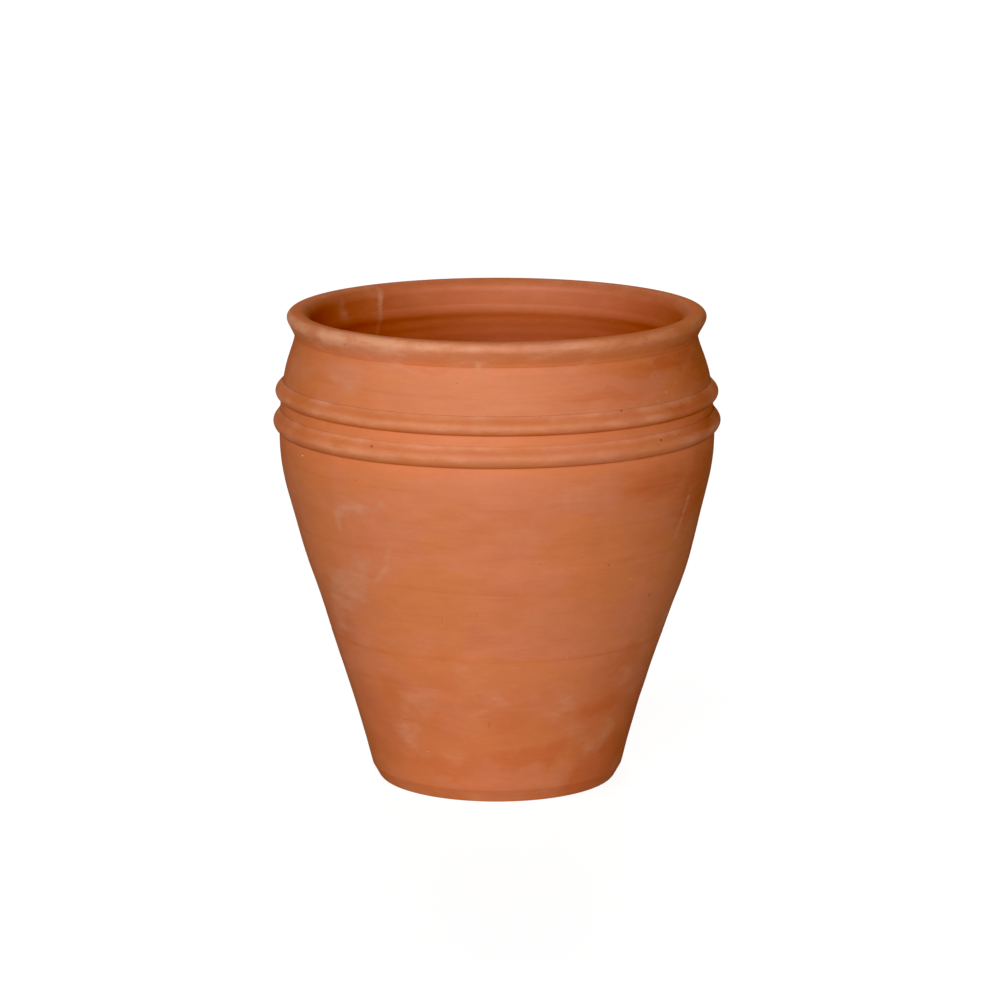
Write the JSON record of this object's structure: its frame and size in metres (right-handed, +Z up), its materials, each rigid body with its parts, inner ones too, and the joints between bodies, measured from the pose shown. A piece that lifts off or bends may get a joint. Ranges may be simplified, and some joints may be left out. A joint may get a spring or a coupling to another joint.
{
  "type": "terracotta pot",
  "caption": "Round hand-thrown terracotta garden pot with a rolled rim, raised bands below it and a drain hole in the base, for growing plants.",
  "frame": {"origin": "centre of the flat underside of the base", "axes": "+Z up along the pot's axis, out of the mouth; the pot is round, so +X and +Y are free"},
  "size_m": [0.4, 0.4, 0.426],
  "materials": {
    "wall_clay": "matt, unglazed fired terracotta with throwing lines",
    "band_clay": "matt, unglazed fired terracotta, wiped smooth and a little paler on the crest",
    "rim_clay": "matt, unglazed fired terracotta with a pale bloom",
    "base_clay": "matt, unglazed fired terracotta, a little rougher than the wall"
  },
  "bodies": {
    "root": {"base_disc": "base_clay", "lower_wall": "wall_clay", "belly_wall": "wall_clay", "shoulder_wall": "wall_clay", "lower_band": "band_clay", "upper_band": "band_clay", "rim_coil": "rim_clay"}
  },
  "joints": []
}
